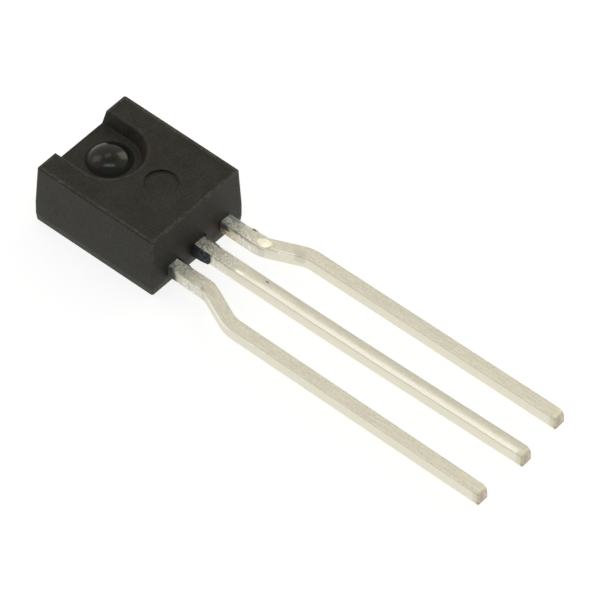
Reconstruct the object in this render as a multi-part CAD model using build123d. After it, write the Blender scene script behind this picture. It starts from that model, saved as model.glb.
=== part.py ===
from build123d import *
import os
from math import radians, tan

# Side-looking photo sensor: one black epoxy moulding with its own dome lens, over a three-lead frame.
# Millimetres. The lens axis is +Z, the flat back lies on z = 0, and the leads run along -Y.
# The origin is where the lens axis meets the back.

# ---- driving dimensions -------------------------------------------------------------------------

# moulding, measured at the parting line
body_width = 4.55
body_length = 5.30
body_thickness = 2.54
lens_to_open_end = 1.35        # lens axis to the end that the recess opens through
upper_draft = 2.5              # degrees, parting line up to the front face
corner_radius = 0.08           # upright corners
front_edge_radius = 0.04
back_relief_height = 0.32      # band round the back that leans in towards the back face
back_relief_inset = 0.03

# recess and lens
recess_depth = 0.48
recess_floor_half_width = 1.075
recess_wall_angle = 24.0       # degrees from upright
lens_diameter = 1.64
lens_height = 0.42             # above the recess floor, just short of the front face

# round mark of the ejector pin on the front face
ejector_mark_diameter = 1.20
ejector_mark_depth = 0.08
ejector_mark_to_lens = 2.29
ejector_mark_aside = 0.04      # its pin sat this far to +X

# lead frame, stamped from strip as thick as the leads are wide
lead_size = 0.50
lead_edge_radius = 0.06
lead_base = 0.37               # underside of the leads above the back
lead_pitch = 1.325             # where the leads leave the moulding
frame_shift = 0.075            # the frame sat this far to +X in the mould
lead_reach = 14.25             # lead end of the moulding to the tips
left_lead_short = 0.015        # how much shorter each lead was cut
centre_lead_short = 0.0
right_lead_short = 0.22
left_lead_drift = -0.055       # sideways lean of each formed lead at its tip
centre_lead_drift = 0.13
right_lead_drift = 0.065
bow_start = 6.0                # the centre lead is straight this far, then bows a little
bow_radius = 300.0
tip_edge_radius = 0.07         # round the sheared end

# outward kink of the two outer leads
kink_start = 1.65              # from the moulding to the first bend's corner
kink_run = 1.50
kink_offset = 0.69
kink_radius = 1.35

# sheared remains of the dam bar that tied the leads together
dam_offset = 0.95              # moulding to the near edge of the bar
dam_width = 0.70
dam_stub_proud = 0.04

# resin flash left between the moulding and the dam bar
flash_block_width = 0.13       # beside the centre lead, as tall as the lead
flash_block_length = 0.74
flash_skin_width = 0.075       # thinner skins beside the other lead sides
flash_skin_length = 0.70
flash_skin_height = 0.16

# inside the moulding
pad_width = 1.50
pad_length = 1.50
post_gap = 0.25                # die pad to bond post
post_width = 0.70
post_length = 1.10
post_top = 0.35                # upper end of the bond posts, from the lens axis
chip_size = 1.05
chip_thickness = 0.25
attach_thickness = 0.03
attach_margin = 0.06
wire_diameter = 0.03
wire_neck = 0.15               # straight rise above the ball
wire_crest = 0.22              # top of the loop above the chip
bond_diameter = 0.09           # ball on the chip and stitch on the post
bond_height = 0.035
chip_bond_inset = 0.14         # bond pads from the chip's edges
bond_fan = 0.30                # how far below its bond pad a wire lands on the post

# ---- derived places -----------------------------------------------------------------------------

lead_end = lens_to_open_end - body_length
body_mid_y = (lens_to_open_end + lead_end) / 2
lead_mid = lead_base + lead_size / 2
frame_top = lead_base + lead_size
parting_height = frame_top     # the mould halves close on the upper face of the frame
upper_height = body_thickness - parting_height
recess_floor = body_thickness - recess_depth
chip_base = frame_top + attach_thickness
chip_top = chip_base + chip_thickness
post_inner = pad_width / 2 + post_gap
left_root = frame_shift - lead_pitch
right_root = frame_shift + lead_pitch
past_end = body_length         # overrun of the recess cutter beyond the moulding
base_aligned = (Align.CENTER, Align.CENTER, Align.MIN)


# ---- moulding -----------------------------------------------------------------------------------

def body_section(height, inset):
    # Rounded rectangle of the moulding's plan at one height, drawn in by the inset all round.
    place = Location((0, body_mid_y, height))
    return place * RectangleRounded(body_width - 2 * inset, body_length - 2 * inset, corner_radius)


def moulding_block():
    # Two mould halves meet at the parting line: the upper one has draft, the lower one a leaning band.
    front_inset = upper_height * tan(radians(upper_draft))
    upper = loft([body_section(parting_height, 0), body_section(body_thickness, front_inset)], ruled=True)
    upper = fillet(upper.faces().sort_by(Axis.Z)[-1].edges(), front_edge_radius)
    lower = extrude(body_section(back_relief_height, 0), parting_height - back_relief_height)
    band = loft([body_section(0, back_relief_inset), body_section(back_relief_height, 0)], ruled=True)
    return upper + lower + band


def recess_cutter():
    # U-shaped plan, round about the lens axis and open at the end, with walls that flare upwards.
    straight = Location((0, past_end / 2)) * Rectangle(2 * recess_floor_half_width, past_end)
    plan = Circle(recess_floor_half_width) + straight
    return extrude(Pos(0, 0, recess_floor) * plan, recess_depth, taper=-recess_wall_angle)


def lens_dome():
    # Spherical cap standing on the recess floor, turned from its half profile.
    half = lens_diameter / 2
    ball = (half**2 + lens_height**2) / (2 * lens_height)
    rim, apex = (half, recess_floor), (0, recess_floor + lens_height)
    foot = recess_floor - recess_depth / 4
    with BuildPart() as dome:
        with BuildSketch(Plane.XZ):
            with BuildLine():
                RadiusArc(rim, apex, -ball)
                Polyline(apex, (0, foot), (half, foot), rim)
            make_face()
        revolve(axis=Axis.Z)
    return dome.part


def ejector_mark():
    top = Location((ejector_mark_aside, -ejector_mark_to_lens, body_thickness - ejector_mark_depth))
    return top * Cylinder(ejector_mark_diameter / 2, 2 * ejector_mark_depth, align=base_aligned)


def flash_tab(lead_x, side, width, length, height):
    # Skin of resin on one side of a lead, from inside the moulding out towards the dam bar.
    root = lead_end + back_relief_inset
    near = lead_x + side * (lead_size / 2 - lead_edge_radius)
    far = lead_x + side * (lead_size / 2 + width)
    size = (abs(far - near), root - lead_end + length, height)
    centre = ((near + far) / 2, root - size[1] / 2, frame_top - height / 2)
    return Location(centre) * Box(*size)


def flash():
    return [
        flash_tab(frame_shift, -1, flash_block_width, flash_block_length, lead_size),
        flash_tab(frame_shift, 1, flash_skin_width, flash_skin_length, flash_skin_height),
        flash_tab(left_root, 1, flash_skin_width, flash_skin_length, flash_skin_height),
        flash_tab(right_root, -1, flash_skin_width, flash_skin_length, flash_skin_height),
    ]


def moulded_body(inner_pieces):
    # The moulding is cast round the frame, chip and wires, so they are taken out of it as they are.
    body = moulding_block() - recess_cutter() + lens_dome() - ejector_mark()
    for tab in flash():
        body += tab
    for piece in inner_pieces:
        body -= piece
    return body


# ---- lead frame ---------------------------------------------------------------------------------

def swept_lead(points, radii):
    # Square bar with plated, softened edges, carried along straight runs and tangent arcs.
    # The fillet asked for on one edge of the end runs on round all of it.
    path = FilletPolyline(*[(x, y, lead_mid) for x, y in points], radius=radii)
    start = Plane(path @ 0, x_dir=(1, 0, 0), z_dir=path % 0)
    bar = sweep(start * RectangleRounded(lead_size, lead_size, lead_edge_radius), path)
    tip_face = bar.faces().sort_by(Axis.Y)[0]
    return fillet(tip_face.edges().filter_by(GeomType.LINE).sort_by(Axis.Z)[-1], tip_edge_radius)


def frame_plate(centre_x, centre_y, width, length):
    # Flat part of the frame inside the moulding.
    return Location((centre_x, centre_y, lead_base)) * Box(width, length, lead_size, align=base_aligned)


def dam_stub(lead_x):
    middle = lead_end - dam_offset - dam_width / 2
    height = lead_size - 2 * lead_edge_radius
    return Location((lead_x, middle, lead_mid)) * Box(lead_size + 2 * dam_stub_proud, dam_width, height)


def centre_lead():
    tip = lead_end - lead_reach + centre_lead_short
    points = [(frame_shift, 0), (frame_shift, lead_end - bow_start), (frame_shift + centre_lead_drift, tip)]
    pad = frame_plate(0, 0, pad_width, pad_length)
    return swept_lead(points, [bow_radius]) + pad + dam_stub(frame_shift)


def outer_lead(root_x, side, short, drift):
    # Bond post, straight root, outward kink and parallel run to the tip.
    formed_x = root_x + side * kink_offset
    points = [
        (root_x, post_top - post_length / 2),
        (root_x, lead_end - kink_start),
        (formed_x, lead_end - kink_start - kink_run),
        (formed_x + drift, lead_end - lead_reach + short),
    ]
    post = frame_plate(side * (post_inner + post_width / 2), post_top - post_length / 2, post_width, post_length)
    return swept_lead(points, [kink_radius, kink_radius]) + post + dam_stub(root_x)


# ---- chip and bonds -----------------------------------------------------------------------------

def die_attach():
    side = chip_size + 2 * attach_margin
    return Location((0, 0, frame_top)) * Box(side, side, attach_thickness, align=base_aligned)


def sensor_chip():
    return Location((0, 0, chip_base)) * Box(chip_size, chip_size, chip_thickness, align=base_aligned)


def bond_wire(side):
    # Ball on the chip's bond pad, a straight neck, a kinked crest, and a slope down to the stitch on the post.
    pad_x = side * (chip_size / 2 - chip_bond_inset)
    pad_y = chip_bond_inset - chip_size / 2
    post_x = side * (post_inner + post_width / 2)
    post_y = pad_y - bond_fan
    path = Polyline(
        (pad_x, pad_y, chip_top),
        (pad_x, pad_y, chip_top + wire_neck),
        (pad_x + side * (wire_crest - wire_neck), pad_y, chip_top + wire_crest),
        (post_x, post_y, frame_top + bond_height / 2),
    )
    section = Plane(path @ 0, z_dir=path % 0) * Circle(wire_diameter / 2)
    wire = sweep(section, path, transition=Transition.RIGHT)
    bond = Cylinder(bond_diameter / 2, bond_height, align=base_aligned)
    return wire + Location((pad_x, pad_y, chip_top)) * bond + Location((post_x, post_y, frame_top)) * bond


inner = {
    "left_lead": outer_lead(left_root, -1, left_lead_short, left_lead_drift),
    "centre_lead": centre_lead(),
    "right_lead": outer_lead(right_root, 1, right_lead_short, right_lead_drift),
    "die_attach": die_attach(),
    "sensor_chip": sensor_chip(),
    "left_bond_wire": bond_wire(-1),
    "right_bond_wire": bond_wire(1),
}

os.makedirs("parts", exist_ok=True)
for name, piece in {"moulded_body": moulded_body(inner.values()), **inner}.items():
    export_step(piece, f"parts/{name}.step")
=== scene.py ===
# Looks of a side-looking photo sensor: black epoxy moulding with its own lens, three tinned leads.
# Settings are in millimetres and meshes in metres. Lens axis +Z, leads along -Y, flat back on z = 0.
import math
import bmesh
import bpy
import numpy as np
from mathutils import Matrix, Vector


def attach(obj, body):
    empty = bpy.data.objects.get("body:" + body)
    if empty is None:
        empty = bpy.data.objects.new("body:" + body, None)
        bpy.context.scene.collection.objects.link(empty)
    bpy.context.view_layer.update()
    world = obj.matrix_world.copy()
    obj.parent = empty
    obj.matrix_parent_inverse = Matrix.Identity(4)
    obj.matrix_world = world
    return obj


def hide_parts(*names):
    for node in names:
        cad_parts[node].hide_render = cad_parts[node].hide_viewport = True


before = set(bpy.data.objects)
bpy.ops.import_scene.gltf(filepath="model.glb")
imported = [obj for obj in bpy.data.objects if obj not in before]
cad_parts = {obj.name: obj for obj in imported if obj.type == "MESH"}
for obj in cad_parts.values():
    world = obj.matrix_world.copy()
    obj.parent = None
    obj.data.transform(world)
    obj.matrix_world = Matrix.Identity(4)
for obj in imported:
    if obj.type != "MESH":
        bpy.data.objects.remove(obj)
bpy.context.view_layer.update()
mm = 0.001
print("frame loaded")

meshing = {
    "mergeGap": 2e-4,              # points closer than this become one
    "sharpAngle": 32,              # edges that turn by more degrees than this stay crisp
}


def ruled(first, second, steps):
    # straight blend of two curves: (1 - t) * first + t * second, one row for each t
    t = np.asarray(steps)[:, None, None]
    return (1 - t) * first + t * second


def level(plan, height):
    # plan curve (n, 2) lifted to one height
    return np.column_stack([plan, np.full(len(plan), height)])


def quarterTurn(count):
    # evenly spaced angles from nothing to a right angle
    return np.linspace(0, math.pi / 2, count)


def addObject(name, data):
    # new object at the origin, linked to the scene
    made = bpy.data.objects.new(name, data)
    bpy.context.scene.collection.objects.link(made)
    return made


def addPiece(name, node, material, sheets, values=None):
    # grid sheets (rows, columns, 3) in mm: quads between neighbours, doubles merged, normals turned outwards
    points, quads, start = [], [], 0
    for sheet in sheets:
        rows, columns = sheet.shape[:2]
        index = start + np.arange(rows * columns).reshape(rows, columns)
        corners = [index[:-1, :-1], index[:-1, 1:], index[1:, 1:], index[1:, :-1]]
        quads.append(np.stack(corners, axis=-1).reshape(-1, 4))
        points.append(sheet.reshape(-1, 3))
        start += rows * columns
    mesh = bpy.data.meshes.new(name)
    mesh.from_pydata(np.concatenate(points) * mm, [], np.concatenate(quads).tolist())
    for key, grids in (values or {}).items():
        layer = mesh.attributes.new(key, "FLOAT", "POINT")
        numbers = np.concatenate([grid.reshape(-1) for grid in grids])
        layer.data.foreach_set("value", numbers.astype(np.float32))
    work = bmesh.new()
    work.from_mesh(mesh)
    bmesh.ops.remove_doubles(work, verts=work.verts, dist=meshing["mergeGap"] * mm)
    bmesh.ops.recalc_face_normals(work, faces=work.faces)
    work.to_mesh(mesh)
    work.free()
    mesh.shade_smooth()
    mesh.set_sharp_from_angle(angle=math.radians(meshing["sharpAngle"]))
    mesh.materials.append(material)
    piece = addObject(name, mesh)
    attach(piece, "root")
    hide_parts(node)
    print(name, "faces", len(mesh.polygons))


class Wire:
    # one node output; arithmetic on it adds Math nodes
    def __init__(self, finish, out):
        self.finish, self.out = finish, out

    def maths(self, operation, first, second):
        return self.finish.maths(operation, first, second)

    def __add__(self, other):
        return self.maths("ADD", self, other)

    def __radd__(self, other):
        return self.maths("ADD", other, self)

    def __sub__(self, other):
        return self.maths("SUBTRACT", self, other)

    def __rsub__(self, other):
        return self.maths("SUBTRACT", other, self)

    def __mul__(self, other):
        return self.maths("MULTIPLY", self, other)

    def __rmul__(self, other):
        return self.maths("MULTIPLY", other, self)


class Finish:
    # one material, or a world, built node by node
    def __init__(self, name, owner=None):
        self.material = owner or bpy.data.materials.new(name)
        self.material.use_nodes = True
        self.tree = self.material.node_tree
        self.tree.nodes.clear()

    def node(self, kind, settings=None, inputs=None, out=0):
        # any node: its settings are set first, then the values or wires of its sockets
        made = self.tree.nodes.new(kind)
        for key, value in (settings or {}).items():
            setattr(made, key, value)
        for key, value in (inputs or {}).items():
            if isinstance(value, Wire):
                self.tree.links.new(value.out, made.inputs[key])
            else:
                made.inputs[key].default_value = value
        return Wire(self, made.outputs[out]) if made.outputs else None

    def maths(self, operation, first, second=0.0):
        return self.node("ShaderNodeMath", {"operation": operation}, {0: first, 1: second})

    def larger(self, first, second):
        return self.maths("MAXIMUM", first, second)

    def smaller(self, first, second):
        return self.maths("MINIMUM", first, second)

    def size(self, value):
        return self.maths("ABSOLUTE", value)

    def place(self):
        # object coordinates in millimetres
        spot = self.node("ShaderNodeTexCoord", out="Object")
        return self.node("ShaderNodeVectorMath", {"operation": "SCALE"}, {0: spot, "Scale": 1 / mm})

    def axis(self, vector, which):
        return self.node("ShaderNodeSeparateXYZ", None, {0: vector}, out=which)

    def joined(self, x, y, z=0.0):
        return self.node("ShaderNodeCombineXYZ", None, {"X": x, "Y": y, "Z": z})

    def noise(self, vector, scale, detail, rough, shift=(0, 0, 0)):
        spot = self.node("ShaderNodeMapping", None, {"Vector": vector, "Location": shift})
        inputs = {"Vector": spot, "Scale": scale, "Detail": detail, "Roughness": rough}
        return self.node("ShaderNodeTexNoise", None, inputs)

    def ramp(self, value, low, high, first=0.0, last=1.0):
        # smooth step of the value, from first at low to last at high
        inputs = {"Value": value, "From Min": low, "From Max": high, "To Min": first, "To Max": last}
        return self.node("ShaderNodeMapRange", {"interpolation_type": "SMOOTHSTEP"}, inputs)

    def window(self, value, low, high, soft):
        # one between low and high, with soft ends
        return self.ramp(value, low - soft, low + soft) * self.ramp(value, high + soft, high - soft)

    def patch(self, along, across, place, size):
        # soft ellipse at a place (along, across) with half sizes: full up to 0.4 of their square, gone at 1.3
        u, v = (along - place[0]) * (1 / size[0]), (across - place[1]) * (1 / size[1])
        return self.ramp(u * u + v * v, 1.3, 0.4)

    def distance(self, vector, centre):
        settings, inputs = {"operation": "DISTANCE"}, {0: vector, 1: centre}
        return self.node("ShaderNodeVectorMath", settings, inputs, out="Value")

    def around(self, vector, centre, outer, inner):
        # one near a point, fading from the inner radius to nothing at the outer
        return self.ramp(self.distance(vector, centre), outer, inner)

    def blend(self, factor, first, second):
        inputs = {"Factor": factor, 6: first, 7: second}       # sockets 6 and 7 are the two colours
        return self.node("ShaderNodeMix", {"data_type": "RGBA"}, inputs, out=2)

    def bump(self, height, strength, distance, below=None):
        inputs = {"Height": height, "Strength": strength, "Distance": distance * mm}
        if below is not None:
            inputs["Normal"] = below
        return self.node("ShaderNodeBump", None, inputs)

    def shader(self, inputs):
        return self.node("ShaderNodeBsdfPrincipled", None, inputs)

    def cover(self, surface, kind="ShaderNodeOutputMaterial"):
        # surface or background goes to the output, which ends the material or world
        self.node(kind, None, {"Surface": surface})
        return self.material


moulding = {
    "width": 4.55, "length": 5.30, "thickness": 2.54, "openEnd": 1.35,
    "draft": 2.5, "corner": 0.08, "frontEdge": 0.04, "backEdge": 0.02,
    "parting": 0.87, "reliefHeight": 0.32, "reliefInset": 0.03,
    "recessDepth": 0.48, "recessHalf": 1.075, "recessWall": 24.0, "footRound": 0.05, "rimRound": 0.06,
    "lensRadius": 0.82, "lensHeight": 0.42, "lensFoot": 0.03,
    "markRadius": 0.60, "markDepth": 0.08, "markX": 0.04, "markY": -2.29, "markRound": 0.015,
    "collar": -1.50,               # front face is split along this line, between recess and ejector mark
    "sidePoints": 12, "cornerPoints": 6, "arcPoints": 61, "sillPoints": 41,
    "footRings": 6, "wallRings": 8, "edgeRings": 7, "backRings": 5, "capRings": 40, "lipRings": 5,
    "lowRings": (0.17, 0.6, 1.3, 1.7),                         # plain rings below the recess
    "creaseGap": 0.01,                                         # rings on both sides of a crease
    "backSteps": (0, 0.02, 0.4, 0.7, 1),                       # shares of the way across a flat
    "groundSteps": (0, 0.02, 0.3, 0.6, 0.97, 1),
    "faceSteps": (0, 0.01, 0.25, 0.5, 0.75, 0.97, 1),
}


def inset(z):
    # how far the outside leans in at a height: (z - parting) * tan(draft) above the parting line,
    # a band that leans in evenly towards the back, and quarter rounds r * (1 - sqrt(1 - u * u)) at both edges
    m = moulding
    z = np.asarray(z, float)
    lean = np.maximum(z - m["parting"], 0) * math.tan(math.radians(m["draft"]))
    band = np.maximum(1 - z / m["reliefHeight"], 0) * m["reliefInset"]
    up = np.clip((z - m["thickness"] + m["frontEdge"]) / m["frontEdge"], 0, 1)
    down = np.clip(1 - z / m["backEdge"], 0, 1)
    front = m["frontEdge"] * (1 - np.sqrt(1 - up**2))
    back = m["backEdge"] * (1 - np.sqrt(1 - down**2))
    return lean + band + front + back


def inner(a, b, count):
    # evenly spaced points between two points, without the two
    t = np.linspace(0, 1, count + 2)[1:-1, None]
    return (1 - t) * np.array(a) + t * np.array(b)


def outline(z, notch):
    # plan of the outside at one height, from the recess's -X edge round the block to its +X edge:
    # straight runs joined by quarter circles
    m = moulding
    d = float(inset(z))
    w, r, n = m["width"] / 2 - d, m["corner"], m["sidePoints"]
    top, low, mid = m["openEnd"] - d, m["openEnd"] - m["length"] + d, m["collar"]
    quarter = quarterTurn(m["cornerPoints"])

    def corner(x, y, start):
        return np.column_stack([x + r * np.cos(start + quarter), y + r * np.sin(start + quarter)])

    return np.concatenate([
        [(-notch, top)], inner((-notch, top), (-w + r, top), n), corner(-w + r, top - r, math.pi / 2),
        inner((-w, top - r), (-w, mid), n), [(-w, mid)], inner((-w, mid), (-w, low + r), n),
        corner(-w + r, low + r, math.pi), inner((-w + r, low), (w - r, low), 2 * n),
        corner(w - r, low + r, 1.5 * math.pi), inner((w, low + r), (w, mid), n), [(w, mid)],
        inner((w, mid), (w, top - r), n), corner(w - r, top - r, 0),
        inner((w - r, top), (notch, top), n), [(notch, top)],
    ])


def recessHalf(z):
    # half width of the recess at one height: the wall is half + (z - floor) * tan(wall angle),
    # with a circle that touches floor and wall at its foot, and one that touches wall and face at its rim
    m = moulding
    z = np.asarray(z, float)
    lean = math.radians(m["recessWall"])
    turn = math.pi / 2 - lean
    floor, foot, rim = m["thickness"] - m["recessDepth"], m["footRound"], m["rimRound"]
    wall = m["recessHalf"] + (z - floor) * math.tan(lean)
    footX = m["recessHalf"] - foot * math.tan(turn / 2)
    footPart = footX + np.sqrt(np.maximum(foot**2 - (foot - (z - floor))**2, 0))
    rimX = m["recessHalf"] + m["recessDepth"] * math.tan(lean) + rim * math.tan(turn / 2)
    rimPart = rimX - np.sqrt(np.maximum(rim**2 - (rim - (m["thickness"] - z))**2, 0))
    wall = np.where(z < floor + foot * (1 - math.cos(turn)), footPart, wall)
    return np.where(z > m["thickness"] - rim * (1 - math.cos(turn)), rimPart, wall)


def recessPlan(half, top):
    # U of one half width: straight, half circle about the lens axis, straight
    run = np.linspace(top, 0, moulding["sidePoints"] + moulding["cornerPoints"] + 1)[:-1]
    turn = np.linspace(math.pi, 2 * math.pi, moulding["arcPoints"])
    arc = half * np.column_stack([np.cos(turn), np.sin(turn)])
    left = np.column_stack([np.full(len(run), -half), run])
    right = np.column_stack([np.full(len(run), half), run[::-1]])
    return np.concatenate([left, arc, right])


def ways(plan, centre):
    # unit directions from the centre to the plan's points: (point - centre) / its length
    away = plan - centre
    return away / np.linalg.norm(away, axis=1)[:, None]


def mouldingSheets():
    # skin of the moulding as grids that share their edges: stacked plans for walls, straight blends for flats,
    # and a turned cap of a sphere, x = R * cos(a) and z = R * sin(a), for the lens
    m = moulding
    top, floor = m["thickness"], m["thickness"] - m["recessDepth"]
    lean = math.radians(m["recessWall"])
    footTop = floor + m["footRound"] * (1 - math.cos(math.pi / 2 - lean))
    zs = np.concatenate([
        floor + (footTop - floor) * (1 - np.cos(quarterTurn(m["footRings"]))),
        np.linspace(footTop, top - m["frontEdge"], m["wallRings"])[1:-1],
        top - m["frontEdge"] * (1 - np.sin(quarterTurn(m["edgeRings"])))])
    halves, ends = recessHalf(zs), m["openEnd"] - inset(zs)
    outside = np.stack([level(outline(z, h), z) for z, h in zip(zs, halves)])
    wall = np.stack([level(recessPlan(h, e), z) for z, h, e in zip(zs, halves, ends)])

    # below the recess: closed loops, whose end face passes under it, down to the flat back
    sill = np.linspace(1, -1, m["sillPoints"])[1:, None] * [halves[0], 0]

    def loop(z):
        plan = outline(z, halves[0])
        return level(np.concatenate([plan, sill + [0, plan[0, 1]]]), z)

    gap, relief, parting = m["creaseGap"], m["reliefHeight"], m["parting"]
    creases = [relief - gap, relief, relief + gap, parting - gap, parting, parting + gap]
    edge = m["backEdge"] * (1 - np.cos(quarterTurn(m["backRings"])))
    lower = np.stack([loop(z) for z in np.sort(np.concatenate([edge, m["lowRings"], creases, [floor]]))])
    middle = np.array([0, m["openEnd"] - m["length"] / 2, 0])
    back = ruled(loop(0), middle + 0 * loop(0), m["backSteps"])

    # recess floor and lens: cap of a sphere on a small round foot, turned about the lens axis
    rim = np.concatenate([wall[0][:, :2], sill + [0, ends[0]]])
    ball = (m["lensRadius"]**2 + m["lensHeight"]**2) / (2 * m["lensHeight"])
    sink, foot = ball - m["lensHeight"], m["lensFoot"]
    reach = math.sqrt((ball + foot)**2 - (sink + foot)**2)
    tilt = math.atan2(sink + foot, reach)
    turn = np.linspace(-math.pi / 2, tilt - math.pi, m["edgeRings"])
    cap = np.linspace(tilt, math.pi / 2, m["capRings"])[1:]
    radii = np.concatenate([reach + foot * np.cos(turn), ball * np.cos(cap)])
    heights = np.concatenate([floor + foot + foot * np.sin(turn), floor - sink + ball * np.sin(cap)])
    lens = np.stack([level(ways(rim, np.zeros(2)) * r, h) for r, h in zip(radii, heights)])
    ground = ruled(level(rim, floor), lens[0], m["groundSteps"])

    # front face: recess rim to the outside down to the collar line, then a field round the ejector mark
    n, c = m["sidePoints"], m["cornerPoints"]
    leftMid, face = 2 * n + c + 1, outside[-1]
    rightMid = len(face) - 1 - leftMid
    across = inner(face[leftMid, :2], face[rightMid, :2], m["arcPoints"] - 2)
    collar = np.concatenate([face[n + 1:leftMid + 1], level(across, top), face[rightMid:len(face) - 1 - n]])
    upperFace = ruled(wall[-1], collar, np.linspace(0, 1, n + 2))
    field = np.concatenate([collar[n + c:n + c + m["arcPoints"]], face[leftMid:rightMid][::-1]])

    # ejector mark: rounded lip, upright wall and flat bottom, each point moved in along its own direction
    spot, r, bend = np.array([m["markX"], m["markY"]]), m["markRadius"], m["markRound"]
    lip, low = quarterTurn(m["lipRings"]), top - m["markDepth"]
    markRadii = np.concatenate([r + bend * (1 - np.sin(lip)), [r, r - bend, 0.8 * r, 0]])
    markHeights = np.concatenate([top - bend * (1 - np.cos(lip)), [low + bend, low, low, low]])
    way = ways(field[:, :2], spot)
    mark = np.stack([level(spot + way * a, h) for a, h in zip(markRadii, markHeights)])
    lowerFace = ruled(field, mark[0], m["faceSteps"])
    return [outside, wall, lower, back, ground, lens, upperFace, lowerFace, mark]


bars = {
    "profilePoints": 6, "rollRings": 7, "plateRings": 8,
    "capShares": (0, 0.5, 1),          # rings that close the near end of a bar, as shares of its section
    "tipShares": (0.8, 0.4, 0),        # and those that close its far end
    "clearance": 0.02,                 # between the last plain ring and the rolled end
    "stubEase": (0.02, 0.03), "stubRagged": 0.015, "stubWave": 43,
    "crownEase": (0.10, 0.05, 0.2),    # before and after the start, and before the tip
}


def barProfile(halfWidth, halfHeight, radius, flat=4):
    # closed outline of a bar, (n, 2): four flats and four quarter circles, the last point on the first
    t = np.linspace(-1, 1, flat + 2)[1:-1]
    quarter = quarterTurn(bars["profilePoints"])
    a, b = halfWidth - radius, halfHeight - radius
    made = []
    for turn, (x, z) in enumerate(((a, b), (-a, b), (-a, -b), (a, -b))):
        angle = quarter + turn * math.pi / 2
        flatSide = [(halfWidth + 0 * t, t * b), (-t * a, halfHeight + 0 * t),
                    (-halfWidth + 0 * t, -t * b), (t * a, -halfHeight + 0 * t)][turn]
        rounded = [x + radius * np.cos(angle), z + radius * np.sin(angle)]
        made += [np.column_stack(flatSide), np.column_stack(rounded)]
    made = np.concatenate(made)
    return np.concatenate([made, made[:1]])


def bentPath(corners, radius, step=0.02):
    # plan of a formed lead: the heading is constant on runs and linear on arcs, the place is its running sum
    corners = np.array(corners, float)
    away = np.diff(corners, axis=0)
    lengths, headings = np.hypot(*away.T), np.arctan2(away[:, 1], away[:, 0])
    turns = np.abs(np.diff(headings))
    cut = radius * np.tan(turns / 2)
    runs = lengths - np.append(0, cut) - np.append(cut, 0)
    stops = np.append(0, np.cumsum(np.column_stack([runs, np.append(radius * turns, 0)]))[:-1])
    s = np.append(np.arange(0, stops[-1], step), stops[-1])
    heading = np.interp(s, stops, np.repeat(headings, 2))
    middle = (heading[1:] + heading[:-1]) / 2
    moves = np.diff(s)[:, None] * np.column_stack([np.cos(middle), np.sin(middle)])
    return s, corners[0] + np.append(np.zeros((1, 2)), np.cumsum(moves, axis=0), axis=0), heading


def carried(path, height, profile, stations, endRound, stub=None, crown=None):
    # profile carried along a path: place = path(s) + normal(s) * across + up * z, closed by flat ends;
    # endRound, one radius for each profile point, rolls the far end over; a stub widens the flats for
    # a stretch; a crown lowers the top towards -X: drop = depth * (share of the way to that edge) ** power
    s, spots, headings = path
    n, last = len(profile), s[-1]
    whole = np.ones(n)
    endRound = endRound * whole
    roll = quarterTurn(bars["rollRings"])[:, None]
    plain = (stations > s[0]) & (stations < last - endRound.max() - bars["clearance"])
    body = stations[plain][:, None] * whole
    near, tip = (np.array(bars[key])[:, None] * whole for key in ("capShares", "tipShares"))
    along = np.concatenate([0 * near + s[0], body, last - endRound * (1 - np.sin(roll)), 0 * tip + last])
    rolled = 1 - endRound * (1 - np.cos(roll)) / np.abs(profile).max()
    shrink = np.concatenate([near, np.ones_like(body), rolled, tip * rolled[-1]])
    across, up = profile[:, 0], profile[:, 1]
    if stub:
        ragged = along + bars["stubRagged"] * np.sin(bars["stubWave"] * up)
        before, after = bars["stubEase"]
        stops = [stub["from"] - before, stub["from"], stub["to"], stub["to"] + after]
        on = np.interp(ragged, stops, [0, 1, 1, 0])
        flat = np.abs(up) < stub["half"]
        across = across + on * flat * np.where(across > 0, stub["right"], -stub["left"])
    if crown:
        before, after, end = bars["crownEase"]
        on = np.interp(along, [crown["from"] - before, crown["from"] + after, last - end, last], [0, 1, 1, 0])
        share = np.clip((crown["start"] - profile[:, 0]) / (crown["start"] - profile[:, 0].min()), 0, 1)
        up = up - on * (up > crown["above"]) * crown["depth"] * share**crown["power"]
    across, up = across * shrink, up * shrink
    x, y = (np.interp(along, s, spots[:, k]) for k in (0, 1))
    turn = np.interp(along, s, headings)
    sheet = np.stack([x - np.sin(turn) * across, y + np.cos(turn) * across, height + up], axis=-1)
    return sheet, along, across


def plate(x, y, width, length, height, thickness, edge, endRound=0.0):
    # straight bar along -Y, from its centre and size
    path = bentPath([(x, y + length / 2), (x, y - length / 2)], 0)
    stations = np.linspace(0, length, bars["plateRings"])
    return carried(path, height, barProfile(width / 2, thickness / 2, edge), stations, max(endRound, edge))


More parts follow.
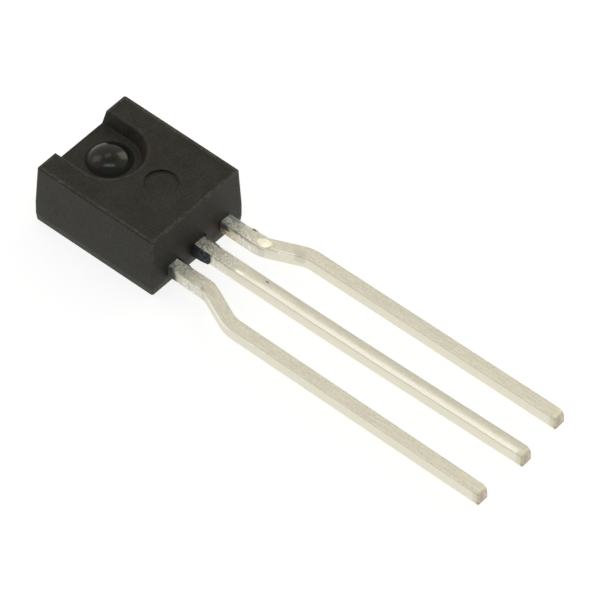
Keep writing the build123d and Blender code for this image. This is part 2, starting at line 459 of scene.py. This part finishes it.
leads = {
    "size": 0.50, "edge": 0.024, "base": 0.37, "reach": 14.249, "pitch": 1.325, "shift": 0.075,
    "bowStart": 6.0, "bowRadius": 300.0,
    "kinkStart": 1.65, "kinkRun": 1.50, "kinkOffset": 0.6895, "kinkRadius": 1.35,
    # sheared end: crisp below, its top rolled over, more towards +X
    "tipEdge": 0.04, "tipRoll": 0.15, "tipLean": 0.35, "tipSide": 0.04,
    "damFrom": 0.95, "damTo": 1.65, "damHalf": 0.19,
    "crown": {"from": 1.80, "start": 0.02, "above": 0.20, "power": 1.6},
    "postTop": 0.35, "postLength": 1.10, "postWidth": 0.70, "postX": 1.35, "pad": 1.50, "plateEdge": 0.01,
    "ringStep": 0.08, "flatPoints": 8,
    "stubRings": np.arange(-6, 7) * 0.01,                      # close rings round both ends of a stub
}
leadEach = {
    "left_lead": {"side": -1, "short": 0.015, "drift": -0.055, "crown": 0.0,
                  "stubLeft": 0.025, "stubRight": 0.045, "stubTone": 1.0},
    "centre_lead": {"side": 0, "short": 0.0, "drift": 0.13, "crown": 0.032,
                    "stubLeft": 0.015, "stubRight": 0.015, "stubTone": 0.15},
    "right_lead": {"side": 1, "short": 0.22, "drift": 0.065, "crown": 0.008,
                   "stubLeft": 0.02, "stubRight": 0.08, "stubTone": 0.5},
}


def leadSheets(own):
    # a square bar carried along its bent path, and the flat post or pad that it overlaps in the moulding;
    # along counts from the moulding's end face, and is -1 on the post or pad
    q, side = leads, own["side"]
    leadEnd = moulding["openEnd"] - moulding["length"]
    half = q["size"] / 2
    middle = q["base"] + half
    root = q["shift"] + side * q["pitch"]
    tip = leadEnd - q["reach"] + own["short"]
    if side:
        start = q["postTop"] - q["postLength"] / 2
        formed = root + side * q["kinkOffset"]
        bend = leadEnd - q["kinkStart"]
        corners = [(root, start), (root, bend), (formed, bend - q["kinkRun"]), (formed + own["drift"], tip)]
        path = bentPath(corners, q["kinkRadius"])
        flat = (side * q["postX"], start, q["postWidth"], q["postLength"])
    else:
        start = 0.0
        corners = [(root, start), (root, leadEnd - q["bowStart"]), (root + own["drift"], tip)]
        path = bentPath(corners, q["bowRadius"])
        flat = (0, 0, q["pad"], q["pad"])
    inside = plate(*flat, middle, q["size"], q["plateEdge"])
    out = start - leadEnd                  # length of the part inside the moulding
    stub = {"from": out + q["damFrom"], "to": out + q["damTo"], "half": q["damHalf"],
            "left": own["stubLeft"], "right": own["stubRight"]}
    plain = np.arange(0, path[0][-1], q["ringStep"])
    stations = np.unique(np.concatenate([plain, stub["from"] + q["stubRings"], stub["to"] + q["stubRings"]]))
    profile = barProfile(half, half, q["edge"], q["flatPoints"])
    crown = dict(q["crown"], depth=own["crown"])
    crown["from"] += out
    toRight, toTop = (profile / half).T
    roll = q["tipRoll"] * np.clip(toTop, 0, 1)**2 * (1 - q["tipLean"] + q["tipLean"] * toRight)
    endRound = q["tipEdge"] + roll + q["tipSide"] * np.clip(toRight, 0, 1)
    bar = carried(path, middle, profile, stations, endRound, stub, crown)
    values = {"along": [bar[1] - out, 0 * inside[1] - 1], "across": [bar[2], inside[2]]}
    return [bar[0], inside[0]], values, path[0][-1] - out


flash = {
    "inside": 0.03, "overlap": 0.06, "edge": 0.03, "endRound": 0.05,
    "ragged": 0.010, "droop": 1.5, "waves": ((47, 19, 0), (83, -31, 1.3)), "endWave": 29,
    # lead and side of it, width and height at the moulding, length, shares of width and height at the far end
    "skins": (
        (0, -1, 0.13, 0.50, 0.74, 0.85, 0.80),
        (0, 1, 0.13, 0.22, 0.70, 0.10, 0.30),
        (-1, 1, 0.075, 0.16, 0.62, 0.35, 0.5),
        (1, -1, 0.050, 0.24, 0.36, 0.35, 0.4),
    ),
}


def flashSheets():
    # skins of resin beside the leads, from just inside the end face out towards the dam bar:
    # a bar whose width and height shrink evenly with the distance, roughened by crossed sine waves
    f, q = flash, leads
    leadEnd, top = moulding["openEnd"] - moulding["length"], q["base"] + q["size"]
    made = []
    for lead, side, width, tall, length, widthLeft, tallLeft in f["skins"]:
        face = q["shift"] + lead * q["pitch"] + side * q["size"] / 2
        middle = (face + side * (width - f["overlap"]) / 2, leadEnd + f["inside"] - length / 2)
        size = (width + f["overlap"], length, top - tall / 2, tall)
        sheet = plate(*middle, *size, f["edge"], f["endRound"])[0]
        x, y, z = (sheet[..., k] for k in range(3))
        t = (leadEnd + f["inside"] - y) / length
        wave = sum(np.sin(a * y + b * z + c) for a, b, c in f["waves"])
        outward = (x - face) * (1 - (1 - widthLeft) * t) + f["ragged"] * wave * t
        down = (top - z) * (1 - (1 - tallLeft) * t**2) + f["droop"] * f["ragged"] * (1 + wave / 2) * t
        shorter = f["ragged"] * 2 * np.sin(f["endWave"] * z + lead) * t**4
        made.append(np.stack([face + outward, y + shorter, top - down], axis=-1))
    return made


epoxy = {
    # resin: its two tones, sides and end face painted paler for the light from the floor, and a gloss that is a
    # little warm
    "pale": (0.0262, 0.0241, 0.0179, 1), "dark": (0.0030, 0.0028, 0.0020, 1), "side": (0.090, 0.087, 0.070, 1),
    "sideLightShare": 0.17, "endLightShare": 0.09, "sideGrain": 0.40,
    "sideFrom": (0.020, 0.008),            # a side's own look starts this close to it
    "specular": 0.40, "warm": (1.0, 0.96, 0.88, 1), "roughness": (0.52, 0.16),
    "grainDepth": 0.012, "grainStrength": 0.55, "sideRelief": 1.9,
    # noise patterns: scale, detail, roughness and, for some, a shift
    "grain": (13.0, 4.0, 0.65), "speck": (34.0, 1.0, 0.5, (3.1, 7.7, 1.9)), "cloud": (1.4, 3.0, 0.55),
    "coarse": (9.0, 3.0, 0.7, (7, 7, 3)), "patchy": (5.0, 3.0, 0.6, (9, 2, 5)),
    "hue": (7.5, 4.0, 0.75, (3, 9, 4)), "bits": (13.0, 2.0, 0.5, (5, 8, 6)), "skinNoise": (8.0, 3.0, 0.6, (2, 6, 1)),
    "ruddy": (0.026, 0.016, 0.012, 1), "ruddyShare": 0.45, "greenish": (0.010, 0.017, 0.014, 1), "greenShare": 0.35,
    # edges paler, more towards +X, as painted highlight with some wear, a painted highlight on the rim round the
    # recess, a pale band round the back, dust
    "wearAndHighlight": (0.085, 0.079, 0.062, 1), "wearAndHighlightShare": 0.42, "wearAndHighlightGap": (0.13, 0.04), "wearAndHighlightRagged": 0.06,
    "wearAndHighlightFar": (1.9, 2.2, 1.0, 1.8), "lineAt": (0.045, 0.15, 0.03),
    "rimHalf": 1.32, "rimWidth": (0.10, 0.03), "rimHeight": (2.44, 2.50), "rimShare": 0.25,
    "dust": (0.16, 0.15, 0.13, 1), "dustShare": 0.5, "speckSize": 0.045, "speckShare": 0.8,
    "specks": ((-2.16, 0.30, 2.52), (-2.19, 0.07, 2.46), (-2.24, -2.05, 1.50), (1.32, 1.22, 2.52)),
    # marks in one place: where, outer and inner radius, share
    "wall": (0.024, 0.011, 0.008, 1), "wallAt": ((0.90, -0.80, 2.28), 0.65, 0.25, 0.4),
    "smear": (0.060, 0.040, 0.034, 1), "smearAt": ((0.66, -3.95, 0.80), 0.34, 0.08, 0.5),
    "rust": (0.060, 0.006, 0.004, 1), "rustAt": ((0.97, -3.95, 0.80), 0.13, 0.05, 0.9),
    # painted shadow that each lead casts on the end face, towards -X: tone, share, offset and radius
    "leadShadow": (0.0035, 0.0045, 0.0050, 1), "leadShadowShare": 0.85, "leadShadowAside": 0.38, "leadShadowRadius": 0.50,
    # flash: bluish black with paler far ends, and pale grey on the skins towards +X
    "flash": (0.006, 0.011, 0.015, 1), "flashPale": (0.105, 0.145, 0.165, 1),
    "skin": (0.150, 0.160, 0.150, 1), "skinShare": 0.7,
    # lens: glossy, with a matt ring near its foot
    "lens": (0.0075, 0.0075, 0.0068, 1), "lensRoughness": 0.185, "lensRelief": 0.015,
    "ring": (0.027, 0.027, 0.023, 1), "ringFrom": (0.64, 0.80), "ringRoughness": 0.45, "mattRing": 0.80,
}


def resinTone(make, spot, grain, speck):
    # two tones in a fine grain, with faint ruddy and greenish clouds
    e = epoxy
    mixed = grain * 0.55 + speck * 0.20 + make.noise(spot, *e["cloud"]) * 0.25
    tone = make.blend(make.ramp(mixed, 0.41, 0.59), e["dark"], e["pale"])
    hue = make.noise(spot, *e["hue"])
    tone = make.blend(make.ramp(hue, 0.52, 0.66) * e["ruddyShare"], tone, e["ruddy"])
    return make.blend(make.ramp(hue, 0.48, 0.34) * e["greenShare"], tone, e["greenish"])


def wearAndHighlightTone(make, spot, x, y, z, side, end, tone):
    # pale edges, as painted highlight with some wear: gap is the distance from the nearest edge, which is the middle
    # one of the three gaps to the nearest side, end and face
    e, m = epoxy, moulding
    low, high = make.smaller(side, end), make.larger(side, end)
    face = make.smaller(m["thickness"] - z, z + 0.02)
    gap = make.larger(low, make.smaller(high, face))
    coarse = make.ramp(make.noise(spot, *e["coarse"]), 0.38, 0.62)
    patchy = make.ramp(make.noise(spot, *e["patchy"]), 0.36, 0.64)
    # sides painted paler for the light from the floor, and the end face towards +X, with dark pits in them
    litSides = make.ramp(side, *e["sideFrom"]) * e["sideLightShare"] * (0.55 + 0.9 * coarse)
    litSides = litSides + make.ramp(end, *e["sideFrom"]) * make.ramp(x, 0.3, 1.8) * e["endLightShare"]
    pitted = make.smaller(make.ramp(low, *e["sideFrom"]), 1 - coarse) * e["sideGrain"]
    tone = make.blend(pitted, make.blend(litSides, tone, e["side"]), e["dark"])
    # edges paler from painted highlight and wear, a painted highlight line just inside the front face's long edges,
    # a painted highlight on the recess's rim, the band round the back; the long sides stay dark right up to the front
    # face
    line = make.ramp(z, m["thickness"] - 0.035, m["thickness"] - 0.008) * make.window(side, *e["lineAt"])
    shut = make.ramp(side, 0.06, 0.02) * make.ramp(end, 0.04, 0.12) * make.ramp(z, m["parting"], 1.2)
    wearAndHighlight = make.ramp(gap + (coarse - 0.5) * e["wearAndHighlightRagged"], *e["wearAndHighlightGap"]) * (1 - shut)
    wearAndHighlight = wearAndHighlight * make.ramp(x, *e["wearAndHighlightFar"])
    uneven = 0.3 + 0.7 * patchy
    wearAndHighlight = make.larger(wearAndHighlight * 1.5, line) * uneven
    fromU = make.distance(make.joined(x, make.smaller(y, 0)), (0, 0, 0))
    rim = make.ramp(make.size(fromU - e["rimHalf"]), *e["rimWidth"]) * make.ramp(z, *e["rimHeight"]) * uneven
    band = make.ramp(z, m["reliefHeight"] + 0.06, m["reliefHeight"] - 0.04) * (0.55 + 0.35 * patchy)
    tone = make.blend(wearAndHighlight * e["wearAndHighlightShare"] + rim * e["rimShare"] + band, tone, e["wearAndHighlight"])
    at, outer, inside, share = e["wallAt"]
    tone = make.blend(make.around(spot, at, outer, inside) * share, tone, e["wall"])
    bits = make.ramp(make.noise(spot, *e["bits"]), 0.60, 0.68) * make.smaller(wearAndHighlight * 1.5, 1)
    tone = make.blend(bits * e["dustShare"], tone, e["dust"])
    for at in e["specks"]:
        dusty = make.around(spot, at, e["speckSize"], 0.4 * e["speckSize"])
        tone = make.blend(dusty * e["speckShare"], tone, e["dust"])
    return tone


def endTone(make, spot, x, y, tone):
    # end face: painted shadow beside each lead's -X side, a smear and a rust spot between centre and right leads;
    # beyond it the flash, which goes pale towards its far end
    e, m, q = epoxy, moulding, leads
    leadEnd, mid = m["openEnd"] - m["length"], q["base"] + q["size"] / 2
    onEnd = make.ramp(y, leadEnd + 0.12, leadEnd + 0.06)
    # painted shadow of each lead on the end face, to its -X side
    leadShadow = 0.0
    for k in (-1, 0, 1):                   # less of it beside the outer leads
        beside = (q["shift"] + k * q["pitch"] - e["leadShadowAside"], leadEnd, mid + 0.02)
        shadowed = make.around(spot, beside, e["leadShadowRadius"] - 0.10 * abs(k), 0.10)
        leadShadow = make.larger(leadShadow, shadowed * (1 - 0.3 * abs(k)))
    tone = make.blend(leadShadow * onEnd * e["leadShadowShare"], tone, e["leadShadow"])
    for name in ("smear", "rust"):
        at, outer, inside, share = e[name + "At"]
        tone = make.blend(make.around(spot, at, outer, inside) * onEnd * share, tone, e[name])
    torn = make.ramp(make.noise(spot, *e["skinNoise"]), 0.50, 0.66)
    skin = (0.15 + torn) * make.ramp(y, leadEnd - 0.10, leadEnd - 0.50)
    skin = make.blend(skin, e["flash"], e["flashPale"])
    skin = make.blend(make.ramp(x, 0.25, 0.35) * e["skinShare"], skin, e["skin"])
    return make.blend(make.ramp(y, leadEnd - 0.01, leadEnd - 0.05), tone, skin)


def epoxyFinish():
    # black resin with a fine grain; the lens is the smooth part inside its circle and above the recess floor
    e, m = epoxy, moulding
    make = Finish("mouldedEpoxy")
    spot = make.place()
    x, y, z = (make.axis(spot, name) for name in ("X", "Y", "Z"))
    grain, speck = make.noise(spot, *e["grain"]), make.noise(spot, *e["speck"])
    # gaps in from the drafted sides and ends
    lean = make.larger(z - m["parting"], 0) * math.tan(math.radians(m["draft"]))
    side = m["width"] / 2 - lean - make.size(x)
    end = m["length"] / 2 - lean - make.size(y - (m["openEnd"] - m["length"] / 2))
    tone = resinTone(make, spot, grain, speck)
    tone = wearAndHighlightTone(make, spot, x, y, z, side, end, tone)
    tone = endTone(make, spot, x, y, tone)
    fromAxis, floor = make.distance(make.joined(x, y), (0, 0, 0)), m["thickness"] - m["recessDepth"]
    onLens = make.ramp(fromAxis, m["lensRadius"] + 0.035, m["lensRadius"] + 0.015)
    onLens = onLens * make.ramp(z, floor - 0.06, floor - 0.01)
    ring = make.ramp(fromAxis, *e["ringFrom"])
    colour = make.blend(onLens, tone, make.blend(ring, e["lens"], e["ring"]))
    least, more = e["roughness"]
    roughness = (1 - onLens) * (least + grain * more) + onLens * (e["lensRoughness"] + ring * e["ringRoughness"])
    relief = (grain * 0.7 + speck * 0.3) * (1 - onLens * (1 - e["lensRelief"]))
    relief = relief * make.ramp(make.smaller(side, end), *e["sideFrom"], 1.0, e["sideRelief"])
    inputs = {"Base Color": colour, "Roughness": roughness,
              "Normal": make.bump(relief, e["grainStrength"], e["grainDepth"])}
    glossy = make.shader({**inputs, "Specular IOR Level": e["specular"], "Specular Tint": e["warm"]})
    matt = make.shader({**inputs, "Specular IOR Level": 0.0})
    mattShare = ring * onLens * e["mattRing"]
    return make.cover(make.node("ShaderNodeMixShader", None, {0: mattShare, 1: glossy, 2: matt}))


tin = {
    # plating: two tones in fine streaks, its corners, its root, the dam bar's remains, painted shade on the +X side
    # of the centre lead's far half
    "bright": (0.90, 0.860, 0.725, 1), "dull": (0.77, 0.740, 0.625, 1), "corner": (0.84, 0.800, 0.680, 1),
    "root": (0.84, 0.85, 0.79, 1), "stub": (0.72, 0.70, 0.62, 1), "far": (0.70, 0.675, 0.575, 1),
    # marks: the two palest tones here are painted highlights
    "paintedHighlight": (1.0, 0.98, 0.88, 1), "litFacet": (0.93, 0.89, 0.74, 1), "shade": (0.13, 0.13, 0.115, 1),
    "steel": (0.32, 0.40, 0.45, 1), "brown": (0.34, 0.24, 0.19, 1), "olive": (0.26, 0.19, 0.08, 1),
    "copper": (0.75, 0.26, 0.07, 1), "amber": (0.95, 0.72, 0.30, 1), "nub": (0.15, 0.095, 0.065, 1),
    # sheared end
    "shear": (0.68, 0.615, 0.49, 1), "bare": (0.50, 0.37, 0.26, 1), "smeared": (0.38, 0.37, 0.33, 1),
    "smearedAt": ((-0.10, 0.04), (0.13, 0.15)),
    # noise patterns: scale, detail, roughness and, for some, a shift
    "streakWay": (14, 1.3, 14), "streak": (1.0, 3.0, 0.6), "fine": (13.0, 4.0, 0.65),
    "blotch": (6.0, 3.0, 0.6, (1, 5, 2)), "glintDrops": (11.0, 1.0, 0.5, (4, 1, 8)), "pits": (11.0, 3.0, 0.65, (8, 3, 2)),
    # soft limits in mm: speckled plating and pale root along the lead, top and flanks across it
    "speckled": (1.85, 1.35), "near": (1.20, 0.10), "onTop": (0.12, 0.19), "onFlank": (0.18, 0.225),
    # roughness: plain, then what each part adds, and what is taken away under the painted highlights
    "roughness": 0.33, "fineRoughness": 0.14, "edgeRoughness": 0.10, "cornerRoughness": 0.12,
    "rolledRoughness": 0.22, "speckledGloss": 0.08, "rootRoughness": 0.24, "shineRoughness": 0.17,
    "bumpStrength": 0.6, "bumpDepth": 0.012, "tilt": 0.125,
    # coined edge of the centre lead, with a painted highlight strip: its outer edge, how its inner edge moves in
    # along the lead, its gloss
    "coinHighlightEdge": (-0.245, -0.228), "coinHighlightWidens": (1.8, 3.4, -0.20, -0.11), "coinHighlightSoft": (0.12, -0.03),
    "coinShine": 0.30, "farFrom": (-0.02, 0.18), "farAlong": (1.6, 2.4), "farShare": 0.6,
}
# marks on one lead each: face, place and half sizes in mm (along from the moulding, then across or up), tone, share
tinMarks = {
    "left_lead": (
        ("top", (0.05, -0.19), (0.24, 0.11), "steel", 0.55),
        ("minusX", (0.02, 0.16), (0.16, 0.14), "steel", 0.6),
        ("minusX", (0.0, -0.06), (0.40, 0.50), "shade", 0.95),
        ("top", (0.45, 0.25), (0.50, 0.04), "shade", 0.7),
        ("minusX", (0.96, -0.02), (0.035, 0.22), "brown", 0.35),
        # painted shade: a darker band across the -X flank where the stub ends
        ("minusX", (1.69, 0.0), (0.07, 0.25), "stub", 0.9),
        ("top", (1.57, -0.20), (0.10, 0.045), "brown", 0.5),
        ("minusX", (1.25, -0.23), (0.42, 0.05), "brown", 0.4),
        ("minusX", (2.60, 0.16), (0.95, 0.09), "paintedHighlight", 0.7),
        ("minusX", (4.45, 0.20), (0.16, 0.03), "paintedHighlight", 0.8),
        ("minusX", (5.0, 0.20), (0.10, 0.03), "paintedHighlight", 0.6),
    ),
    "centre_lead": (
        ("top", (0.40, 0.24), (0.45, 0.06), "shade", 0.6),
        ("top", (0.15, 0.02), (0.40, 0.20), "brown", 0.3),
        ("top", (0.62, -0.20), (0.30, 0.035), "paintedHighlight", 0.9),
        ("top", (0.76, -0.11), (0.07, 0.05), "paintedHighlight", 0.9),
        ("minusX", (0.84, 0.06), (0.09, 0.12), "paintedHighlight", 0.6),
        ("top", (2.95, 0.10), (0.085, 0.045), "shade", 0.85),
        ("top", (1.98, -0.18), (0.20, 0.06), "paintedHighlight", 1.0),
    ),
    "right_lead": (
        ("top", (0.06, -0.18), (0.22, 0.11), "steel", 0.55),
        ("top", (0.16, 0.16), (0.38, 0.11), "steel", 0.7),
        ("minusX", (0.12, 0.12), (0.32, 0.15), "shade", 0.9),
        ("minusX", (0.04, -0.10), (0.20, 0.16), "olive", 0.7),
        ("minusX", (0.20, -0.13), (0.050, 0.045), "copper", 1.0),
        ("minusX", (0.42, -0.225), (0.34, 0.035), "copper", 0.7),
        ("minusX", (0.66, -0.10), (0.10, 0.05), "amber", 0.8),
        ("minusX", (0.36, -0.04), (0.12, 0.05), "amber", 0.6),
        ("plusX", (1.10, 0.12), (0.13, 0.14), "nub", 1.0),
        ("top", (1.08, 0.235), (0.10, 0.04), "nub", 0.8),
        ("top", (0.72, -0.24), (0.30, 0.018), "shade", 0.5),
        # painted highlight on a pressed facet, which the bump also tilts
        ("top", (1.72, -0.02), (0.30, 0.27), "litFacet", 0.85),
        ("top", (1.20, -0.17), (0.09, 0.05), "paintedHighlight", 0.8),
        ("top", (0.62, -0.13), (0.08, 0.05), "paintedHighlight", 0.8),
        ("top", (2.50, -0.225), (0.42, 0.03), "paintedHighlight", 1.0),
        # painted shade: a darker band across the -X flank where the stub ends
        ("minusX", (1.72, 0.0), (0.10, 0.25), "stub", 0.9),
        ("minusX", (1.15, -0.23), (0.62, 0.055), "brown", 0.6),
        ("top", (3.00, -0.12), (0.24, 0.14), "shade", 0.12),
        ("minusX", (3.05, 0.10), (0.28, 0.18), "shade", 0.15),
    ),
}


def tinFinish(node, reach):
    # hot-dipped tin: fine streaks, greyer and speckled towards the moulding, with painted highlights where it is
    # brighter
    t, q, half = tin, leads, leads["size"] / 2
    make = Finish("tin_" + node)
    spot = make.place()
    along = make.node("ShaderNodeAttribute", {"attribute_name": "along"}, out="Fac")
    across = make.node("ShaderNodeAttribute", {"attribute_name": "across"}, out="Fac")
    z = make.axis(spot, "Z") - (q["base"] + half)
    wayX, wayY, wayZ = t["streakWay"]
    streak = make.noise(make.joined(across * wayX, along * wayY, z * wayZ), *t["streak"])
    fine, blotch = make.noise(spot, *t["fine"]), make.noise(spot, *t["blotch"])
    glintDrops = make.ramp(make.noise(spot, *t["glintDrops"]), 0.57, 0.65)
    pits = make.ramp(make.noise(spot, *t["pits"]), 0.44, 0.62)
    edgeOn = make.ramp(make.size(across), half - 0.03, half - 0.005)
    speckled = make.ramp(along + (fine - 0.5) * 0.6, *t["speckled"])
    near = make.ramp(along + (blotch - 0.5) * 0.5, *t["near"])
    onTop = make.ramp(z, *t["onTop"])
    tone = make.blend(make.ramp(fine * 0.6 + streak * 0.4, 0.40, 0.60), t["dull"], t["bright"])
    tone = make.blend(edgeOn * 0.85, tone, t["corner"])
    tone = make.blend(near * (1 - edgeOn) * 0.7, tone, t["root"])
    stub = make.window(along, q["damFrom"], q["damTo"], 0.03) * edgeOn * (0.4 + blotch * 0.5)
    tone = make.blend(stub * leadEach[node]["stubTone"], tone, t["stub"])
    tone = make.blend(pits * near * (1 - edgeOn) * 0.60, tone, t["shade"])
    # tin drops: bumps in the height below, with painted glints in their pale tone
    tone = make.blend(glintDrops * speckled, tone, t["paintedHighlight"])

    shine, litFacet, wavy, ragged = 0.0, None, along + (fine - 0.5) * 0.14, (blotch - 0.5) * 0.12
    for face, place, size, colour, share in tinMarks[node]:
        u, v = (along, 0.0) if colour == "litFacet" else (wavy, ragged)       # a pressed facet has a clean edge
        if face == "top":
            mark = make.patch(u, across + v, place, size) * onTop * share
        else:
            way = {"minusX": -1, "plusX": 1}[face]
            mark = make.patch(u, z + v, place, size) * make.ramp(across * way, *t["onFlank"]) * share
        tone = make.blend(mark, tone, t[colour])
        # painted highlights: a pale tone, and less roughness under them
        if colour == "paintedHighlight":
            shine = make.larger(shine, mark * 0.6)
        if colour == "litFacet":
            shine, litFacet = make.larger(shine, mark), mark
    if node == "centre_lead":              # coined edge, painted highlight strip: crisp on its -X side, fading towards the middle
        wide = make.ramp(along, *t["coinHighlightWidens"]) + (blotch - 0.5) * 0.06
        highlightStrip = make.ramp(across, *t["coinHighlightEdge"]) * make.ramp(across - wide, *t["coinHighlightSoft"])
        highlightStrip = highlightStrip * make.window(along, q["crown"]["from"], reach - 0.30, 0.05) * onTop
        # painted shade: the +X side of the far top darker
        shadedSide = make.ramp(across, *t["farFrom"]) * make.ramp(along, *t["farAlong"])
        tone = make.blend(shadedSide * t["farShare"], tone, t["far"])
        tone = make.blend(highlightStrip * (0.7 + fine * 0.4), tone, t["paintedHighlight"])
        shine = make.larger(shine, highlightStrip * t["coinShine"])

    # sheared end: warm bare metal, browner below, with a grey smear towards -X
    end = make.ramp(along + (blotch - 0.5) * 0.05, reach - 0.13, reach - 0.02)
    cut = make.blend(make.ramp(z + (fine - 0.5) * 0.2, -0.02, -0.20), t["shear"], t["bare"])
    cut = make.blend(make.patch(across + ragged, z, *t["smearedAt"]) * 0.75, cut, t["smeared"])
    tone = make.blend(end * 0.9, tone, cut)

    rolled = make.ramp(along, reach - 0.32, reach - 0.20)
    corner = edgeOn * make.ramp(make.size(z), half - 0.04, half - 0.01)
    roughness = t["roughness"] + fine * t["fineRoughness"] + edgeOn * t["edgeRoughness"]
    roughness = roughness + corner * t["cornerRoughness"] + rolled * t["rolledRoughness"]
    roughness = roughness - speckled * t["speckledGloss"] + near * t["rootRoughness"] - shine * t["shineRoughness"]
    height = streak * 0.35 + fine * 0.65 + glintDrops * speckled * 1.4 - pits * near * 0.8
    if litFacet is None:
        normal = make.bump(height, t["bumpStrength"], t["bumpDepth"])
    else:                                  # smooth, and tilted by a height that rises evenly across it
        under = make.bump(height * (1 - litFacet), t["bumpStrength"], t["bumpDepth"])
        normal = make.bump(litFacet * across * t["tilt"], 1.0, 1.0, under)
    inputs = {"Base Color": tone, "Metallic": 1.0, "Roughness": roughness, "Normal": normal}
    return make.cover(make.shader(inputs))


# sealed inside: two tones in a fine grain for each finish, and the nodes that carry it
innerFinishes = {
    "silverAdhesive": {"on": ("die_attach",), "tones": ((0.46, 0.46, 0.45, 1), (0.34, 0.34, 0.34, 1)),
                       "metallic": 0.7, "roughness": 0.5, "scale": 40.0},
    "silicon": {"on": ("sensor_chip",), "tones": ((0.05, 0.06, 0.09, 1), (0.07, 0.08, 0.11, 1)),
                "metallic": 0.6, "roughness": 0.2, "scale": 12.0},
    "goldWire": {"on": ("left_bond_wire", "right_bond_wire"), "tones": ((0.90, 0.65, 0.25, 1), (0.80, 0.56, 0.20, 1)),
                 "metallic": 1.0, "roughness": 0.25, "scale": 60.0},
}


def innerFinish(name, own):
    make = Finish(name)
    grain = make.noise(make.place(), own["scale"], 3.0, 0.6)
    return make.cover(make.shader({
        "Base Color": make.blend(make.ramp(grain, 0.4, 0.6), *own["tones"]), "Metallic": own["metallic"],
        "Roughness": own["roughness"] + grain * 0.1, "Normal": make.bump(grain, 0.3, 0.004)}))


addPiece("epoxy_moulding", "moulded_body", epoxyFinish(), mouldingSheets() + flashSheets())
for node, own in leadEach.items():
    sheets, values, reach = leadSheets(own)
    addPiece("tinned_" + node, node, tinFinish(node, reach), sheets, values)
for name, own in innerFinishes.items():
    material = innerFinish(name, own)
    for node in own["on"]:
        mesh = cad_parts[node].data
        mesh.materials.clear()
        mesh.materials.append(material)
print("pieces done")


studio = {
    "floorSize": 4000.0, "floorDrop": 0.01, "floorGlow": 0.79,
    "floorTones": ((0.35, 0.35, 0.345, 1), (0.34, 0.34, 0.335, 1)), "floorScale": 0.05,
    "nearRoom": (0.345, 0.345, 0.335, 1), "farRoom": (0.66, 0.65, 0.62, 1), "ceiling": (0.45, 0.45, 0.43, 1),
    "tentWay": (0.70, 0.61, 0.37),         # towards the paler side of the tent
    # lamps: azimuth from +X towards +Y and elevation in degrees, distance, width and height in mm
    "lamps": {
        "rightPanel": {"azimuth": -9, "elevation": 33, "away": 400, "width": 180, "height": 240,
                       "power": 0.245, "colour": (1.0, 0.92, 0.72)},
        "leftPanel": {"azimuth": 107, "elevation": 42, "away": 400, "width": 150, "height": 210,
                      "power": 0.115, "colour": (1.0, 0.92, 0.77)},
        "topPanel": {"azimuth": 55, "elevation": 68, "away": 420, "width": 140, "height": 110,
                     "power": 0.057, "colour": (1.0, 0.955, 0.85)},
        "skySlot": {"azimuth": 221.4, "elevation": 71.5, "away": 400, "width": 300, "height": 44,
                    "power": 0.165, "colour": (0.60, 0.90, 1.0)},
    },
}


def addFloor():
    # pale floor that looks white to the camera, to metal and to glass, and keeps the object's shadow
    half, drop = studio["floorSize"] / 2 * mm, studio["floorDrop"] * mm
    mesh = bpy.data.meshes.new("floor")
    corners = [(-half, -half, -drop), (half, -half, -drop), (half, half, -drop), (-half, half, -drop)]
    mesh.from_pydata(corners, [], [(0, 1, 2, 3)])
    make = Finish("paleFloor")
    grain = make.noise(make.place(), studio["floorScale"], 2.0, 0.5)
    camera, glossy, through = (make.node("ShaderNodeLightPath", out="Is " + kind + " Ray")
                               for kind in ("Camera", "Glossy", "Transmission"))
    glow = make.blend(camera + glossy + through, (0, 0, 0, 1), [studio["floorGlow"]] * 3 + [1])
    mesh.materials.append(make.cover(make.shader({
        "Base Color": make.blend(grain, *studio["floorTones"]), "Roughness": 0.8, "Specular IOR Level": 0.1,
        "Emission Color": glow, "Emission Strength": 1.0})))
    floor = addObject("floor", mesh)


def addLamp(name, own):
    # soft panel aimed at the moulding, from its direction and distance
    data = bpy.data.lights.new(name, "AREA")
    data.shape, data.size, data.size_y = "RECTANGLE", own["width"] * mm, own["height"] * mm
    data.energy, data.color = own["power"], own["colour"]
    a, e = math.radians(own["azimuth"]), math.radians(own["elevation"])
    way = Vector((math.cos(e) * math.cos(a), math.cos(e) * math.sin(a), math.sin(e)))
    turn = way.to_track_quat("Z", "Y").to_matrix().to_4x4()
    addObject(name, data).matrix_world = Matrix.Translation(way * own["away"] * mm) @ turn


def addRoom():
    # light tent: paler on its far side (+X +Y), duller overhead, and dim behind a plane that leans back
    # over the object
    world = bpy.data.worlds.new("lightTent")
    bpy.context.scene.world = world
    room = Finish("lightTent", world)
    way = room.node("ShaderNodeTexCoord", out="Generated")
    settings, inputs = {"operation": "DOT_PRODUCT"}, {0: way, 1: studio["tentWay"]}
    far = room.node("ShaderNodeVectorMath", settings, inputs, out="Value")
    tone = room.blend(room.ramp(room.axis(way, "Z"), 0.80, 0.97), studio["farRoom"], studio["ceiling"])
    tone = room.blend(room.ramp(far, -0.10, 0.06), studio["nearRoom"], tone)
    glow = room.node("ShaderNodeBackground", None, {"Color": tone, "Strength": 1.0})
    room.cover(glow, "ShaderNodeOutputWorld")


addFloor()
for name, own in studio["lamps"].items():
    addLamp(name, own)
addRoom()
print("studio done")

view = {
    "place": (-141.889, -130.927, 215.110), "aim": (0.6634, -7.9171, 0.3211), "roll": 0.4675,
    "lens": 514.35, "sensor": 36.0, "clip": (0.01, 20.0),      # the clip distances are in metres
}
data = bpy.data.cameras.new("camera")
data.lens, data.sensor_width = view["lens"], view["sensor"]
data.clip_start, data.clip_end = view["clip"]
camera = addObject("camera", data)
place, aim = Vector(view["place"]) * mm, Vector(view["aim"]) * mm
turn = (aim - place).to_track_quat("-Z", "Y").to_matrix().to_4x4()
camera.matrix_world = Matrix.Translation(place) @ turn @ Matrix.Rotation(math.radians(view["roll"]), 4, "Z")
bpy.context.scene.camera = camera
bpy.context.scene.view_settings.view_transform = "Standard"
print("camera done")
